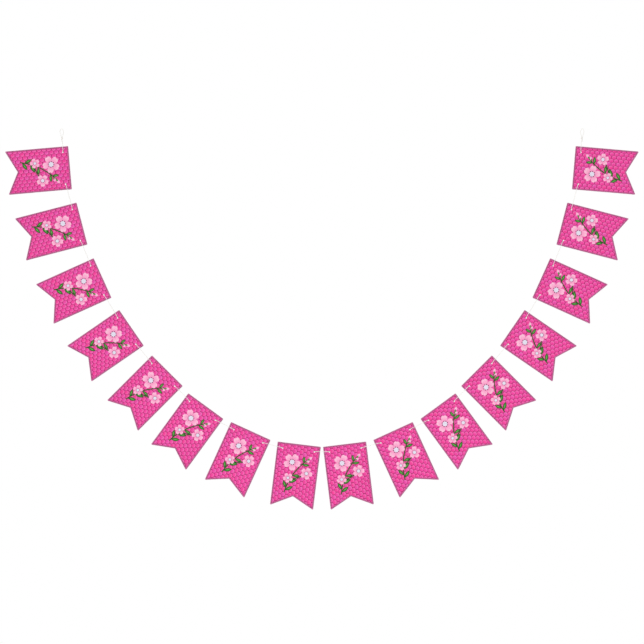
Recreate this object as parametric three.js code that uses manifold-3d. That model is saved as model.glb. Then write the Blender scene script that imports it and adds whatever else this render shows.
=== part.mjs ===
// A bunting: sixteen swallow-tailed cloth flags threaded on one white cord, hanging in a deep swag from a loop
// at each end of the cord. Sizes are in millimetres. +X runs along the bunting, +Z is up, and the printed faces
// look along -Y. The origin is the point where a hook carries the left-hand loop.
import * as THREE from "three";
import { mergeVertices } from "three/addons/utils/BufferGeometryUtils.js";
import Module from "manifold-3d";

const wasm = await Module();
wasm.setup();

// A flag, cut with a V in its lower end and punched with one hole in each top corner.
const FLAG_WIDTH = 150;
const FLAG_HEIGHT = 220;
const NOTCH_DEPTH = 38.6;
const CLOTH_THICKNESS = 1.2;
const HOLE_DIAMETER = 5;
const HOLE_FROM_SIDE = 19.5;
const HOLE_FROM_TOP = 19.5;
const HOLE_SIDES = 16;

// The cloth is flat along its top, where the cord keeps it straight, and bows a little towards its tails.
const FLAT_BAND = 34;
const TAIL_CURL = 4;
const TAIL_SWAY = 2.5;
const CURL_STEP = 2.4;
const SWAY_STEP = 1.7;
const SWAY_START = 0.6;
const SHEET_COLUMNS = 4;
const SHEET_ROWS = 7;
const TRIMMED_EDGE = 8;

// The right-hand half of the swag, from the middle outwards, which the left-hand half mirrors. across and rise
// place the middle of a flag's top edge, from the middle of the swag and its lowest flags, and tilt turns it.
const SWAG = [
  { across: 78.9, rise: 0, tilt: 7.0 },
  { across: 247.5, rise: 46.1, tilt: 24.6 },
  { across: 404.1, rise: 132.9, tilt: 36.2 },
  { across: 538.1, rise: 256.1, tilt: 44.9 },
  { across: 663.0, rise: 405.4, tilt: 55.5 },
  { across: 763.7, rise: 578.8, tilt: 65.7 },
  { across: 835.3, rise: 768.1, tilt: 75.4 },
  { across: 877.0, rise: 962.6, tilt: 85.1 },
];

// The cord lies behind each flag between its two holes, and in front of it from each hole to the side edge.
// It slants through the holes, and bears on their upper rims.
const CORD_DIAMETER = 2;
const CORD_SIDES = 8;
const CORD_STANDOFF = 2;
const CORD_SLANT = 55;
const BEARING_RISE = 0.9;

// Each end of the cord is doubled back into a loop, which a few turns of the cord bind.
const END_CLIMB = 86;
const END_RUN = 46;
const BINDING_TURNS = 3;
const BINDING_RADIUS = 3.1;
const BINDING_LENGTH = 7.2;
const BINDING_GROOVE = 0.55;
const BINDING_SIDES = 12;
const LOOP_LENGTH = 30;
const LOOP_HALF_WIDTH = 6;
const LOOP_STEPS = 16;
const CUT_END_LENGTH = 9;
const CUT_END_SPREAD = 3.2;
const CUT_END_STEPS = 4;

const WHITE_COTTON = { color: 0xf2f0ec, roughness: 0.9, metalness: 0 };
const PRINTED_CLOTH = { color: 0xe5509d, roughness: 0.85, metalness: 0 };

// Turns a closed three.js geometry into a solid for joining and cutting.
function solidOf(geometry) {
  const bare = geometry.clone();
  bare.deleteAttribute("normal");
  bare.deleteAttribute("uv");
  const merged = mergeVertices(bare, 1e-4);
  const mesh = new wasm.Mesh({
    numProp: 3,
    vertProperties: merged.getAttribute("position").array,
    triVerts: new Uint32Array(merged.index.array),
  });
  return new wasm.Manifold(mesh);
}

// Turns a joined or cut solid back into a three.js geometry.
function geometryOf(solid) {
  const mesh = solid.getMesh();
  const geometry = new THREE.BufferGeometry();
  geometry.setAttribute("position", new THREE.BufferAttribute(mesh.vertProperties, 3));
  geometry.setIndex(new THREE.BufferAttribute(mesh.triVerts, 1));
  geometry.computeVertexNormals();
  return geometry;
}

// The points of a regular polygon around a centre, for a small round hole or a cord's section.
function ringPoints(x, y, radius, sides) {
  const points = [];
  for (let i = 0; i < sides; i++) {
    const turn = (2 * Math.PI * (i + 0.5)) / sides;
    points.push(new THREE.Vector2(x + radius * Math.cos(turn), y + radius * Math.sin(turn)));
  }
  return points;
}

// How far the cloth stands behind its flat plane, across from the middle and down from the top edge.
function bowAt(across, down, curl, sway) {
  const share = THREE.MathUtils.smootherstep(down, FLAT_BAND, FLAG_HEIGHT);
  const side = across / (FLAG_WIDTH / 2);
  return share * (curl * side * side + sway * side);
}

// The flag's outline with its holes, its top edge on Z = 0, thick enough to cut right through the bowed cloth.
function outlineCutter() {
  const half = FLAG_WIDTH / 2;
  const outline = new THREE.Shape([
    new THREE.Vector2(-half, 0),
    new THREE.Vector2(-half, -FLAG_HEIGHT),
    new THREE.Vector2(0, NOTCH_DEPTH - FLAG_HEIGHT),
    new THREE.Vector2(half, -FLAG_HEIGHT),
    new THREE.Vector2(half, 0),
  ]);
  for (const side of [-1, 1]) {
    const centre = side * (half - HOLE_FROM_SIDE);
    outline.holes.push(new THREE.Path(ringPoints(centre, -HOLE_FROM_TOP, HOLE_DIAMETER / 2, HOLE_SIDES)));
  }
  const depth = 4 * (TAIL_CURL + TAIL_SWAY + CLOTH_THICKNESS);
  const prism = new THREE.ExtrudeGeometry(outline, { depth, bevelEnabled: false });
  prism.translate(0, 0, -depth / 2);
  prism.rotateX(Math.PI / 2);
  return solidOf(prism);
}

// A flag in its own frame: the middle of its top edge is the origin, and its printed face looks along -Y.
function flagGeometry(curl, sway) {
  const width = FLAG_WIDTH + 2 * TRIMMED_EDGE;
  const height = FLAG_HEIGHT + 2 * TRIMMED_EDGE;
  const sheet = new THREE.BoxGeometry(width, CLOTH_THICKNESS, height, SHEET_COLUMNS, 1, SHEET_ROWS);
  sheet.translate(0, 0, TRIMMED_EDGE - height / 2);
  const points = sheet.getAttribute("position");
  for (let i = 0; i < points.count; i++) {
    const bow = bowAt(points.getX(i), -points.getZ(i), curl, sway);
    points.setY(i, points.getY(i) + bow);
  }
  return geometryOf(solidOf(sheet).intersect(outlineCutter()));
}

// The flags' places from the left end of the swag to its right end.
function swagPlaces() {
  const right = SWAG.map(({ across, rise, tilt }) => ({ x: across, z: rise, tilt }));
  const left = SWAG.map(({ across, rise, tilt }) => ({ x: -across, z: rise, tilt: -tilt }));
  return [...left.reverse(), ...right];
}

// The direction in the swag's plane that climbs at an angle to the right.
function climbing(degrees) {
  const angle = THREE.MathUtils.degToRad(degrees);
  return new THREE.Vector3(Math.cos(angle), 0, Math.sin(angle));
}

// Where the cord goes through a flag's left and right holes: a little above their centres.
function bearingsOf({ x, z, tilt }) {
  const along = climbing(tilt);
  const down = climbing(tilt - 90);
  const middle = new THREE.Vector3(x, 0, z).addScaledVector(down, HOLE_FROM_TOP - BEARING_RISE);
  const half = FLAG_WIDTH / 2 - HOLE_FROM_SIDE;
  return [middle.clone().addScaledVector(along, -half), middle.clone().addScaledVector(along, half)];
}

// The cord's two points at a hole, one on each side of the cloth. from is 1 where it comes from behind.
function throughHole(bearing, arriving, leaving, from) {
  const reach = CORD_STANDOFF / Math.tan(THREE.MathUtils.degToRad(CORD_SLANT));
  return [
    bearing.clone().addScaledVector(arriving, -reach).setY(from * CORD_STANDOFF),
    bearing.clone().addScaledVector(leaving, reach).setY(-from * CORD_STANDOFF),
  ];
}

// A line from point to point, whose steps fall on the points and whose corners are mitred.
class PointLine extends THREE.Curve {
  constructor(points) {
    super();
    this.points = points;
  }
  getPoint(t, target = new THREE.Vector3()) {
    const place = THREE.MathUtils.clamp(t, 0, 1) * (this.points.length - 1);
    const i = Math.min(Math.floor(place), this.points.length - 2);
    return target.lerpVectors(this.points[i], this.points[i + 1], place - i);
  }
  getTangent(t, target = new THREE.Vector3()) {
    const i = Math.round(t * (this.points.length - 1));
    const here = this.points[i];
    target.set(0, 0, 0);
    for (const [from, to] of [[this.points[i - 1], here], [here, this.points[i + 1]]]) {
      if (from && to) target.add(to.clone().sub(from).normalize());
    }
    return target.normalize();
  }
  getUtoTmapping(u) {
    return u;
  }
}

// A round cord along a line of points.
function cordAlong(points) {
  const section = new THREE.Shape(ringPoints(0, 0, CORD_DIAMETER / 2, CORD_SIDES));
  const extrudePath = new PointLine(points);
  return new THREE.ExtrudeGeometry(section, { steps: points.length - 1, extrudePath, bevelEnabled: false });
}

// Where the binding at one end of the cord starts, and the direction in which the cord gets there.
function endOf(places, side) {
  const last = side > 0 ? bearingsOf(places.at(-1))[1] : bearingsOf(places[0])[0];
  const towards = side > 0 ? climbing(END_CLIMB) : climbing(180 - END_CLIMB);
  return { start: last.clone().addScaledVector(towards, END_RUN).setY(-CORD_STANDOFF), towards };
}

// The threaded run of the cord, from inside the left binding to inside the right one.
function threadedRun(places) {
  const left = endOf(places, -1);
  const right = endOf(places, 1);
  const points = [left.start.clone().addScaledVector(left.towards, BINDING_LENGTH / 2)];
  const bearings = places.map(bearingsOf);
  bearings.forEach(([first, second], k) => {
    const before = k === 0 ? left.start : bearings[k - 1][1];
    const after = k === bearings.length - 1 ? right.start : bearings[k + 1][0];
    const along = second.clone().sub(first).normalize();
    const arriving = first.clone().sub(before).setY(0).normalize();
    const leaving = after.clone().sub(second).setY(0).normalize();
    points.push(...throughHole(first, arriving, along, -1));
    points.push(...throughHole(second, along, leaving, 1));
  });
  points.push(right.start.clone().addScaledVector(right.towards, BINDING_LENGTH / 2));
  return cordAlong(points);
}

// Turns geometry drawn along +Y so that it stands on one end of the cord.
function standOn(geometry, { start, towards }) {
  const turn = new THREE.Quaternion().setFromUnitVectors(new THREE.Vector3(0, 1, 0), towards);
  return geometry.applyQuaternion(turn).translate(start.x, start.y, start.z);
}

// The turns of cord that bind the loop, as one ridged barrel.
function binding() {
  const pitch = BINDING_LENGTH / BINDING_TURNS;
  const groove = BINDING_RADIUS - BINDING_GROOVE;
  const profile = [new THREE.Vector2(0, 0)];
  for (let i = 0; i < BINDING_TURNS; i++) {
    profile.push(new THREE.Vector2(groove, i * pitch));
    profile.push(new THREE.Vector2(BINDING_RADIUS, (i + 0.3) * pitch));
    profile.push(new THREE.Vector2(BINDING_RADIUS, (i + 0.7) * pitch));
  }
  profile.push(new THREE.Vector2(groove, BINDING_LENGTH));
  profile.push(new THREE.Vector2(0, BINDING_LENGTH));
  return new THREE.LatheGeometry(profile, BINDING_SIDES);
}

// The hanging loop: a drop of cord whose two strands go down into the binding.
function hangingLoop() {
  const strand = CORD_DIAMETER * 0.55;
  const widest = BINDING_LENGTH + LOOP_LENGTH * 0.6;
  const drop = new THREE.CatmullRomCurve3([
    new THREE.Vector3(-strand, BINDING_LENGTH / 2, 0),
    new THREE.Vector3(-strand, BINDING_LENGTH, 0),
    new THREE.Vector3(-LOOP_HALF_WIDTH, widest, 0),
    new THREE.Vector3(0, BINDING_LENGTH + LOOP_LENGTH, 0),
    new THREE.Vector3(LOOP_HALF_WIDTH, widest, 0),
    new THREE.Vector3(strand, BINDING_LENGTH, 0),
    new THREE.Vector3(strand, BINDING_LENGTH / 2, 0),
  ]);
  return cordAlong(drop.getSpacedPoints(LOOP_STEPS));
}

// The cut end of the cord, which comes out below the binding.
function cutEnd() {
  const lean = new THREE.CatmullRomCurve3([
    new THREE.Vector3(CORD_DIAMETER * 0.5, BINDING_LENGTH / 2, 0),
    new THREE.Vector3(CORD_DIAMETER * 0.8, 0, 0),
    new THREE.Vector3(CUT_END_SPREAD, -CUT_END_LENGTH, 0),
  ]);
  return cordAlong(lean.getSpacedPoints(CUT_END_STEPS));
}

// The cord is one length, so its run, bindings, loops and cut ends are one solid.
function cordGeometry(places) {
  let cord = solidOf(threadedRun(places));
  for (const side of [-1, 1]) {
    const end = endOf(places, side);
    for (const geometry of [binding(), hangingLoop(), cutEnd()]) {
      cord = cord.add(solidOf(standOn(geometry, end)));
    }
  }
  return geometryOf(cord);
}

// Where a hook carries the loop at one end: the inner side of its top.
function hookPoint(places, side) {
  const { start, towards } = endOf(places, side);
  return start.clone().addScaledVector(towards, BINDING_LENGTH + LOOP_LENGTH - CORD_DIAMETER / 2);
}

const places = swagPlaces();
const swag = new THREE.Group();
const clothMaterial = new THREE.MeshStandardMaterial(PRINTED_CLOTH);
const cordMaterial = new THREE.MeshStandardMaterial(WHITE_COTTON);

places.forEach(({ x, z, tilt }, k) => {
  const curl = TAIL_CURL * Math.cos(CURL_STEP * k);
  const sway = TAIL_SWAY * Math.sin(SWAY_STEP * k + SWAY_START);
  const flag = new THREE.Mesh(flagGeometry(curl, sway), clothMaterial);
  flag.name = `flag_${String(k + 1).padStart(2, "0")}`;
  flag.position.set(x, 0, z);
  flag.rotation.y = -THREE.MathUtils.degToRad(tilt);
  swag.add(flag);
});

const cord = new THREE.Mesh(cordGeometry(places), cordMaterial);
cord.name = "cord";
swag.add(cord);

const hook = hookPoint(places, -1);
swag.position.set(-hook.x, -hook.y, -hook.z);

const bunting = new THREE.Group();
bunting.add(swag);

export default bunting;
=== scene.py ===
# %% [markdown]
# Sixteen swallow-tailed flags of printed canvas hang on one cotton cord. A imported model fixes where
# every flag and the cord are, and this lesson dresses it: twine, canvas, hem thread, print, light and a
# camera. Blender measures in metres. A name that ends in _MM is in millimetres, which suits a flag
# better. +X runs along the bunting, +Z is up, and the printed faces look along -Y. The origin is the
# point where a hook carries the left-hand loop.

# %% Load the fixed frame
import math
from collections import namedtuple

import bpy
import numpy as np
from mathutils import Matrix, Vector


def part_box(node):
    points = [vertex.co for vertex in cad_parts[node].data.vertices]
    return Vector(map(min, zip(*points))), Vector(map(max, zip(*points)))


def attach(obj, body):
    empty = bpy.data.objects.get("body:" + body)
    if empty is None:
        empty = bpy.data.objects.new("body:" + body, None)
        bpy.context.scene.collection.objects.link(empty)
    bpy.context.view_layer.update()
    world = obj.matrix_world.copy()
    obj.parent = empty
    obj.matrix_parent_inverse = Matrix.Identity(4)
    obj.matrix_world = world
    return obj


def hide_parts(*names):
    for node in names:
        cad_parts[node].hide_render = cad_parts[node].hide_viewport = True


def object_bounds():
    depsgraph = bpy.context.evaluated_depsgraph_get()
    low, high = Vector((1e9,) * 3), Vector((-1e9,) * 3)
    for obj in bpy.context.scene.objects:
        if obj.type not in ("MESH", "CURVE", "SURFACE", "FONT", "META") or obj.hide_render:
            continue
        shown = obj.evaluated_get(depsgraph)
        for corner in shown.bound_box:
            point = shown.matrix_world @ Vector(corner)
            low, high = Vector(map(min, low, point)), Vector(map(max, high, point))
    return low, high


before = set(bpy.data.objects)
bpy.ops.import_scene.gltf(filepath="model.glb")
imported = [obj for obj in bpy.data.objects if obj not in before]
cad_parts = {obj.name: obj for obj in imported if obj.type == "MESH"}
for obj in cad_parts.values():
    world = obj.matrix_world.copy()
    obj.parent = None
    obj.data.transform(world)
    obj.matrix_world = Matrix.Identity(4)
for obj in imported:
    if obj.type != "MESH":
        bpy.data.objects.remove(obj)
cad_low, cad_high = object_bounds()
MM = 0.001
print("frame:", len(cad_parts), "nodes,", [round(x, 3) for x in cad_high - cad_low], "m")

# %% [markdown]
# A flag is drawn in its own flat frame: across from its middle, down from its top edge. The swag is a
# table of where each flag's top edge lies and how far it is turned, for the right-hand half alone,
# because the left half mirrors it.

# %% Measures of a flag and of the swag
FLAG_WIDTH_MM = 150
FLAG_HEIGHT_MM = 220
NOTCH_DEPTH_MM = 38.6
CLOTH_THICKNESS_MM = 1.2
HOLE_DIAMETER_MM = 5
HOLE_INSET_MM = 19.5
HALF_WIDTH_MM = FLAG_WIDTH_MM / 2

Row = namedtuple("Row", "across rise tilt")
RIGHT_HALF = [
    Row(across=78.9, rise=0, tilt=7.0),
    Row(across=247.5, rise=46.1, tilt=24.6),
    Row(across=404.1, rise=132.9, tilt=36.2),
    Row(across=538.1, rise=256.1, tilt=44.9),
    Row(across=663.0, rise=405.4, tilt=55.5),
    Row(across=763.7, rise=578.8, tilt=65.7),
    Row(across=835.3, rise=768.1, tilt=75.4),
    Row(across=877.0, rise=962.6, tilt=85.1),
]
LEFT_HALF = [Row(-row.across, row.rise, -row.tilt) for row in reversed(RIGHT_HALF)]
SWAG = LEFT_HALF + RIGHT_HALF
print("swag:", len(SWAG), "flags")

# %% [markdown]
# The cord lies behind each flag between its two punched holes, and in front of it from each hole to the
# side edge. It hangs from a loop at each end, so the place of the left loop, which is the origin, gives
# the place of the whole swag.

# %% The holes, the cord's ends and the swag's own origin
CORD_DIAMETER_MM = 2
CORD_STANDOFF_MM = 2.3
BEARING_RISE_MM = 0.9
END_CLIMB = 86
END_RUN_MM = 46
BINDING_LENGTH_MM = 7.2
LOOP_LENGTH_MM = 30
HOLE_REACH_MM = HALF_WIDTH_MM - HOLE_INSET_MM


def climbing(degrees):
    """The direction in the swag's plane that climbs at an angle to the right."""
    return np.array([math.cos(math.radians(degrees)), 0, math.sin(math.radians(degrees))])


def bearings(row):
    """Where the cord goes through a flag's left and right holes, in the swag's frame."""
    middle = np.array([row.across, 0, row.rise])
    middle = middle + climbing(row.tilt - 90) * (HOLE_INSET_MM - BEARING_RISE_MM)
    return [middle + climbing(row.tilt) * side * HOLE_REACH_MM for side in (-1, 1)]


def binding_start(side):
    """Where the binding at one end of the cord starts, and the direction in which the cord gets there."""
    last = bearings(SWAG[-1])[1] if side > 0 else bearings(SWAG[0])[0]
    towards = climbing(END_CLIMB if side > 0 else 180 - END_CLIMB)
    return last + towards * END_RUN_MM, towards


left_start, left_towards = binding_start(-1)
hook = left_start + left_towards * (BINDING_LENGTH_MM + LOOP_LENGTH_MM - CORD_DIAMETER_MM / 2)
CLOTH_PLANE_MM = 2
SWAG_ORIGIN_MM = np.array([-hook[0], CLOTH_PLANE_MM, -hook[2]])
print("middle of the swag at", (SWAG_ORIGIN_MM * MM).round(4), "m")


def in_frame(points_mm):
    """Points of the swag's frame, in millimetres, as points of the row frame, in metres."""
    return (np.asarray(points_mm) + SWAG_ORIGIN_MM) * MM


# %% [markdown]
# The camera comes before the pieces. The photograph looks straight at the bunting, with no perspective
# to be seen, so a long lens stands far off, level with the middle of the picture. The picture is as wide
# as its scale in millimetres for each pixel says.

# %% Camera
MM_PER_PIXEL = 3.4793
PICTURE_PIXELS = 644
PICTURE_MIDDLE_MM = np.array([0.3, 0, 425.8])
CAMERA_DISTANCE = 9.0
SENSOR_MM = 36
picture_width = PICTURE_PIXELS * MM_PER_PIXEL * MM
lens_data = bpy.data.cameras.new("camera")
lens_data.sensor_width = SENSOR_MM
lens_data.lens = SENSOR_MM * CAMERA_DISTANCE / picture_width
camera = bpy.data.objects.new("camera", lens_data)
camera.location = in_frame(PICTURE_MIDDLE_MM) - np.array([0, CAMERA_DISTANCE, 0])
camera.rotation_euler = (math.radians(90), 0, 0)
bpy.context.scene.collection.objects.link(camera)
bpy.context.scene.camera = camera
print("camera:", round(lens_data.lens), "mm lens, picture", round(picture_width, 3), "m wide")

# %% [markdown]
# Twine and hem thread are both tubes along a line of points. A bevelled curve would give a plain round
# tube, so the tube is made point by point instead: a section with its own lobes turns as it goes, which
# is how plies lie in twine. Each ring's axes are carried on from the ring before, so that the tube never
# flips over in a bend.


# %% Helpers that make meshes
def mesh_object(name, vertices, faces, uvs=None, smooth=True):
    """A mesh object from points in the row frame. uvs holds two numbers for each corner of each face."""
    mesh = bpy.data.meshes.new(name)
    mesh.from_pydata(vertices.tolist(), [], faces)
    if uvs is not None:
        layer = mesh.uv_layers.new(name="place_mm")
        layer.data.foreach_set("uv", np.asarray(uvs, np.float32).ravel())
    mesh.polygons.foreach_set("use_smooth", [smooth] * len(mesh.polygons))
    mesh.update()
    made = bpy.data.objects.new(name, mesh)
    bpy.context.scene.collection.objects.link(made)
    return made


def unit(vectors):
    return vectors / np.linalg.norm(vectors, axis=-1, keepdims=True)


def ring_axes(line, closed):
    """Two axes square to the line at each of its points, carried along it without twisting."""
    ahead = np.roll(line, -1, 0) - line
    behind = line - np.roll(line, 1, 0)
    if not closed:
        ahead[-1] = behind[-1]
        behind[0] = ahead[0]
    tangents = unit(unit(ahead) + unit(behind))
    first = np.zeros_like(line)
    axis = np.array([0.0, 1.0, 0.0])
    for i, tangent in enumerate(tangents):
        axis = unit(axis - tangent * (axis @ tangent))
        first[i] = axis
    return first, np.cross(tangents, first)


def ring_points(line, radii, turns, closed, swell):
    """The section's points at each point of the line, ring after ring, as it turns that often in all."""
    first, second = ring_axes(line, closed)
    spin = np.linspace(0, 2 * math.pi * turns, len(line), endpoint=not closed)
    angles = spin[:, None] + np.arange(len(radii)) * 2 * math.pi / len(radii)
    reach = np.asarray(radii)[None, :, None] * np.reshape(swell, (-1, 1, 1))
    around = np.cos(angles)[..., None] * first[:, None] + np.sin(angles)[..., None] * second[:, None]
    return (line[:, None] + around * reach).reshape(-1, 3)


def tube(name, line_mm, radii_mm, turns=0.0, closed=False, swell=1.0):
    """A tube in the row frame. Its section has these radii all round, and it turns as it goes.

    swell is how much wider the tube is at each point of its line, or one number for all of it.
    """
    count, sides = len(line_mm), len(radii_mm)
    points = in_frame(ring_points(line_mm, radii_mm, turns, closed, swell))
    rings = np.arange(count if closed else count - 1)
    i, k = (x.ravel() for x in np.meshgrid(rings, np.arange(sides), indexing="ij"))
    j, m = (i + 1) % count, (k + 1) % sides
    faces = np.stack([i * sides + k, i * sides + m, j * sides + m, j * sides + k], 1).tolist()
    steps = np.linalg.norm(np.diff(line_mm, axis=0, append=line_mm[:1]), axis=1)
    along = np.concatenate([[0], np.cumsum(steps)])
    girth = 2 * math.pi * float(np.mean(radii_mm))
    across = np.stack([k, k + 1, k + 1, k], 1) * girth / sides
    run = np.stack([along[i], along[i], along[i + 1], along[i + 1]], 1)
    uvs = np.stack([run, across], -1).reshape(-1, 2)
    if not closed:
        faces += [list(range(sides))[::-1], list(range((count - 1) * sides, count * sides))]
        uvs = np.concatenate([uvs, np.zeros((2 * sides, 2))])
    return mesh_object(name, points, faces, uvs)


def spaced(line, step):
    """The line again, with points that far apart."""
    lengths = np.linalg.norm(np.diff(line, axis=0), axis=1)
    along = np.concatenate([[0], np.cumsum(lengths)])
    at = np.linspace(0, along[-1], round(along[-1] / step) + 1)
    return np.stack([np.interp(at, along, line[:, k]) for k in range(3)], 1)


# %% [markdown]
# The cord is limp cotton, so nothing bends it tighter than two diameters except its own knots. At each
# hole it sweeps through the cloth in an S: a bend, a short slant and a bend back. Between flags their
# weight pulls it straight.

# %% The cord's route through the holes
BEND_RADIUS_MM = 4.5
BEND = math.radians(55)
BEND_STEPS = 8


def through_hole():
    """The S at a hole, as run along the cord and distance from the cloth, from one side to the other."""
    slant = (CORD_STANDOFF_MM - BEND_RADIUS_MM * (1 - math.cos(BEND))) / math.tan(BEND)
    reach = BEND_RADIUS_MM * math.sin(BEND) + slant
    turns = np.linspace(0, BEND, BEND_STEPS + 1)
    run = BEND_RADIUS_MM * np.sin(turns) - reach
    stand = CORD_STANDOFF_MM - BEND_RADIUS_MM * (1 - np.cos(turns))
    return np.stack([np.concatenate([run, -run[::-1]]), np.concatenate([stand, -stand[::-1]])], 1)


def hole_points(bearing, arriving, leaving, side):
    """The cord's points at one hole. side is 1 where it comes from behind the cloth, and else -1."""
    points = []
    for run, stand in through_hole():
        ahead = leaving if run > 0 else arriving
        points.append(bearing + ahead * run + np.array([0, side * stand, 0]))
    return points


def flat_direction(start, end):
    return unit((end - start) * np.array([1, 0, 1]))


def threaded_run():
    """The cord from inside the left binding to inside the right one."""
    front = np.array([0, -CORD_STANDOFF_MM, 0])
    (left, left_way), (right, right_way) = binding_start(-1), binding_start(1)
    holes = [bearings(row) for row in SWAG]
    points = [left + front + left_way * BINDING_LENGTH_MM / 2]
    for k, (first, second) in enumerate(holes):
        before = holes[k - 1][1] if k else left
        after = holes[k + 1][0] if k < len(holes) - 1 else right
        along = flat_direction(first, second)
        points += hole_points(first, flat_direction(before, first), along, -1)
        points += hole_points(second, along, flat_direction(second, after), 1)
    points.append(right + front + right_way * BINDING_LENGTH_MM / 2)
    return np.array(points)


# %% [markdown]
# The cord is twine of three cotton plies, so its section has three lobes, and they lie in a long
# right-handed twist of four diameters a turn. A dozen rings to each turn keep the plies round. A cut end
# is left soft: its plies work loose and swell over the last 3 mm, and then round off.

# %% Cord
PLIES = 3
PLY_LAY_MM = 4 * CORD_DIAMETER_MM
RINGS_PER_LAY = 12
SIDES_PER_PLY = 4
PLY_RADIUS_MM = 0.56
PLY_OFFSET_MM = CORD_DIAMETER_MM / 2 - PLY_RADIUS_MM
FRAY_LENGTH_MM = 3
FRAY_ROUNDING = 2.6


def twine_section():
    """How far the twine's surface lies from its middle, all round: three round plies pressed together."""
    turns = (np.arange(SIDES_PER_PLY) + 0.5) / SIDES_PER_PLY - 0.5
    angle = turns * 2 * math.pi / PLIES
    ply = PLY_OFFSET_MM * np.cos(angle)
    ply = ply + np.sqrt(PLY_RADIUS_MM**2 - (PLY_OFFSET_MM * np.sin(angle)) ** 2)
    return np.tile(ply, PLIES)


def twine(name, line_mm, fray=0.0):
    """Twine along a line. fray is how much its far end swells, before it rounds off."""
    step = PLY_LAY_MM / RINGS_PER_LAY
    line = spaced(line_mm, step)
    turns = (len(line) - 1) / RINGS_PER_LAY
    loose = np.clip(1 - np.arange(len(line))[::-1] * step / FRAY_LENGTH_MM, 0, 1)
    swell = 1 + fray * loose * (1 - loose**6 * FRAY_ROUNDING)
    return tube(name, line, twine_section(), turns, swell=swell), line


cord, cord_line = twine("cotton_cord", threaded_run())

# %% [markdown]
# At each end the cord turns back on itself as a drop-shaped loop, winds three times down its own length
# and ends in a short cut tail. That is a knot anyone can tie, and it holds the loop open for a hook. A
# few points give the drop, and a smooth curve through all of them rounds it.

# %% End loops
LOOP_HALF_WIDTH_MM = 6
WIDEST_AT = 0.6
NECK_AT = 0.25
NECK_WIDTH = 0.62
SHOULDER_WIDTH = 0.7
BINDING_TURNS = 3
TURN_RADIUS_MM = CORD_DIAMETER_MM * 1.02
POINTS_PER_TURN = 14
TAIL_LENGTH_MM = 9
TAIL_SPREAD_MM = 3.2
TAIL_BEND_MM = (TURN_RADIUS_MM * 1.1, CORD_DIAMETER_MM * 0.4, -CORD_DIAMETER_MM)
TAIL_FRAY = 0.35


def smooth_line(points, steps=10):
    """A smooth line through all the points."""
    points = np.array(points, float)
    padded = np.concatenate([[2 * points[0] - points[1]], points, [2 * points[-1] - points[-2]]])
    t = np.linspace(0, 1, steps, endpoint=False)[:, None]
    pieces = []
    for a, b, c, d in zip(padded, padded[1:], padded[2:], padded[3:]):
        curve = 2 * b + (c - a) * t + (2 * a - 5 * b + 4 * c - d) * t**2 + (3 * b - a - 3 * c + d) * t**3
        pieces.append(curve / 2)
    return np.concatenate(pieces + [points[-1:]])


def drop_points():
    """The drop-shaped loop: sideways, away and along the cord's end, in millimetres."""
    top = BINDING_LENGTH_MM + LOOP_LENGTH_MM - CORD_DIAMETER_MM / 2
    widest = BINDING_LENGTH_MM + LOOP_LENGTH_MM * WIDEST_AT
    neck = BINDING_LENGTH_MM + LOOP_LENGTH_MM * NECK_AT
    half = [(NECK_WIDTH, neck), (1, widest), (SHOULDER_WIDTH, (widest + 2 * top) / 3)]
    half = [(LOOP_HALF_WIDTH_MM * width, 0, height) for width, height in half]
    start = [(0, 0, BINDING_LENGTH_MM / 2), (0, 0, BINDING_LENGTH_MM)]
    return start + [(-x, y, z) for x, y, z in half] + [(0, 0, top)] + half[::-1]


def binding_points():
    """The turns that bind the loop, from its neck down."""
    count = BINDING_TURNS * POINTS_PER_TURN
    drop = BINDING_LENGTH_MM - CORD_DIAMETER_MM
    points = []
    for k in range(count + 1):
        turn = 2 * math.pi * k / POINTS_PER_TURN
        height = BINDING_LENGTH_MM - CORD_DIAMETER_MM / 2 - drop * k / count
        points.append((TURN_RADIUS_MM * math.cos(turn), TURN_RADIUS_MM * math.sin(turn), height))
    return points


def end_loop(name, side):
    start, towards = binding_start(side)
    tail = [TAIL_BEND_MM, (TAIL_SPREAD_MM, 0, -TAIL_LENGTH_MM)]
    local = smooth_line(drop_points() + binding_points() + tail) * np.array([side, 1, 1])
    away = np.array([0, 1, 0])
    sideways = np.cross(away, towards)
    place = start - away * CORD_STANDOFF_MM
    line = place + local[:, :1] * sideways + local[:, 1:2] * away + local[:, 2:] * towards
    made, line = twine(name, line, TAIL_FRAY)
    print(name, "uses", round(float(np.linalg.norm(np.diff(line, axis=0), axis=1).sum())), "mm of cord")
    return made


loops = [end_loop("left_loop_knot", -1), end_loop("right_loop_knot", 1)]
for piece in [cord, *loops]:
    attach(piece, "root")
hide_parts("cord")

# %% [markdown]
# A flag is one layer of canvas. The cord keeps its top edge straight, and below that the cloth bows a
# little, each flag its own way, as sewn cloth does when it hangs free. A grid with both faces and an
# edge gives a closed sheet. Its lines crowd round each punched hole, where a square block of cells makes
# way for a ring, and its lowest rows follow the notch.

# %% How the cloth bows
FLAT_BAND_MM = 34
TAIL_CURL_MM = 4
TAIL_SWAY_MM = 2.5
CURL_STEP = 2.4
SWAY_STEP = 1.7
SWAY_START = 0.6
RIPPLE_MM = 0.45
RIPPLE_LENGTH_MM = 61
RIPPLE_LEAN = 0.6


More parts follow.
